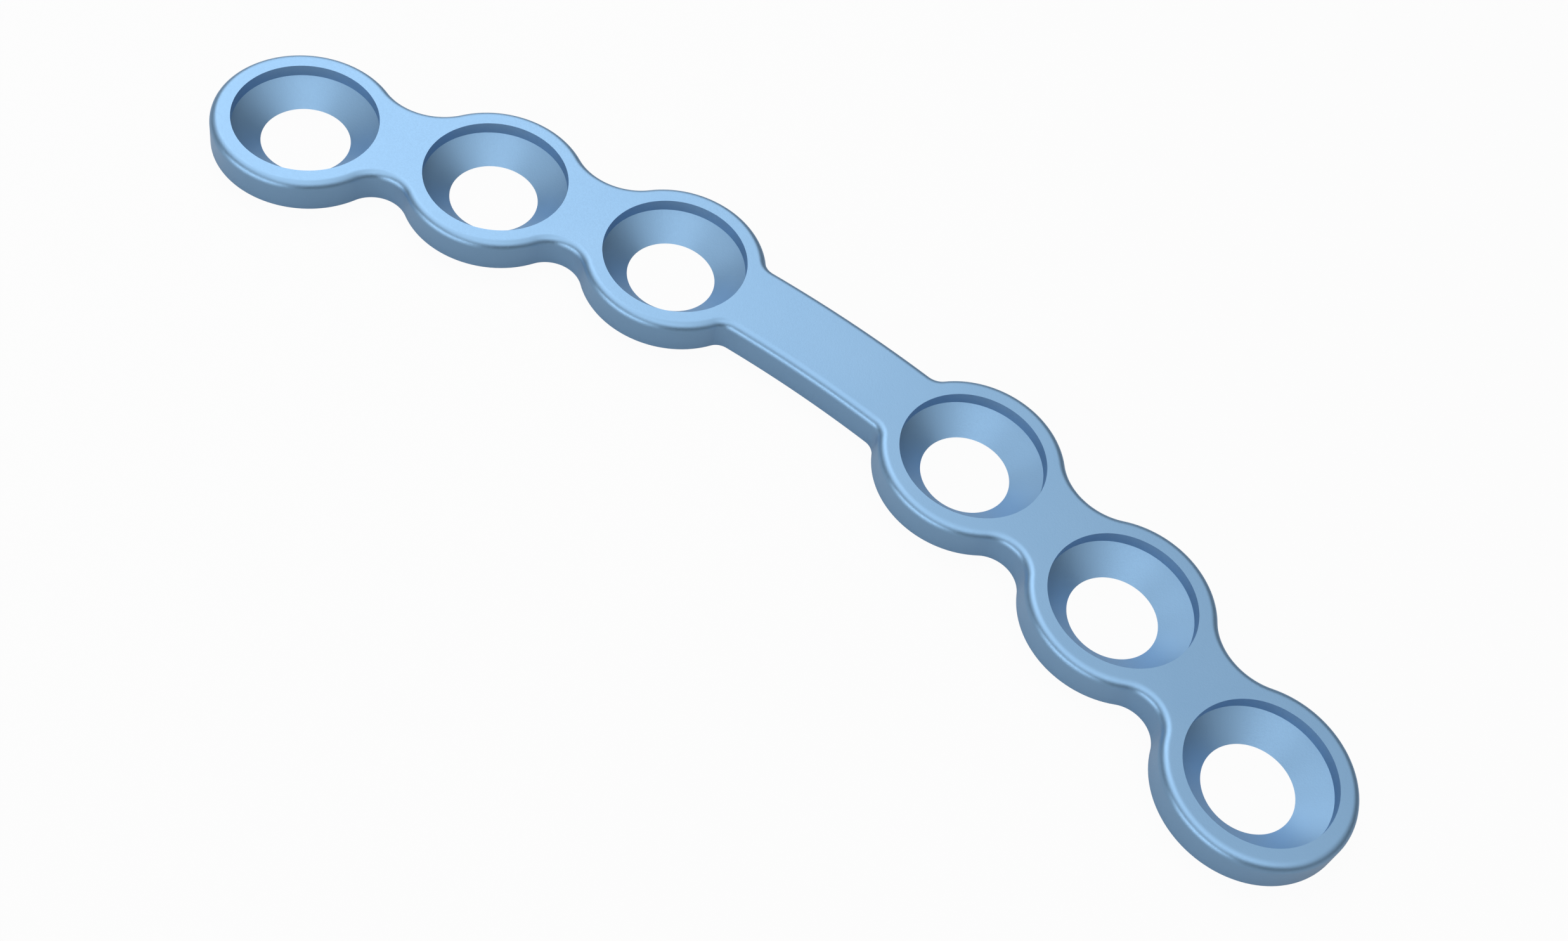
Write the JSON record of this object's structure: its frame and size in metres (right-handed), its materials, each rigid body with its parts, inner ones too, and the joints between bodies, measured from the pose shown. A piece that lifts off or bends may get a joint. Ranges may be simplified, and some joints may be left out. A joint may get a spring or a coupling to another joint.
{
  "type": "orthopedic bone plate",
  "caption": "Flat plate on a shallow arc, with a ring for a countersunk bone screw at each station and a plain bridge in the middle; its upper edge is rounded.",
  "frame": {"origin": "middle of the plate's box, on the underside that lies on the bone", "axes": "+X along the plate, +Y towards the bulging side of its arc, +Z out of the bone through the face that the screws go into"},
  "size_m": [0.0308, 0.0072, 0.0008],
  "materials": {
    "anodised_titanium": "satin blue anodised titanium"
  },
  "bodies": {
    "root": {"bone_plate": "anodised_titanium"}
  },
  "joints": []
}
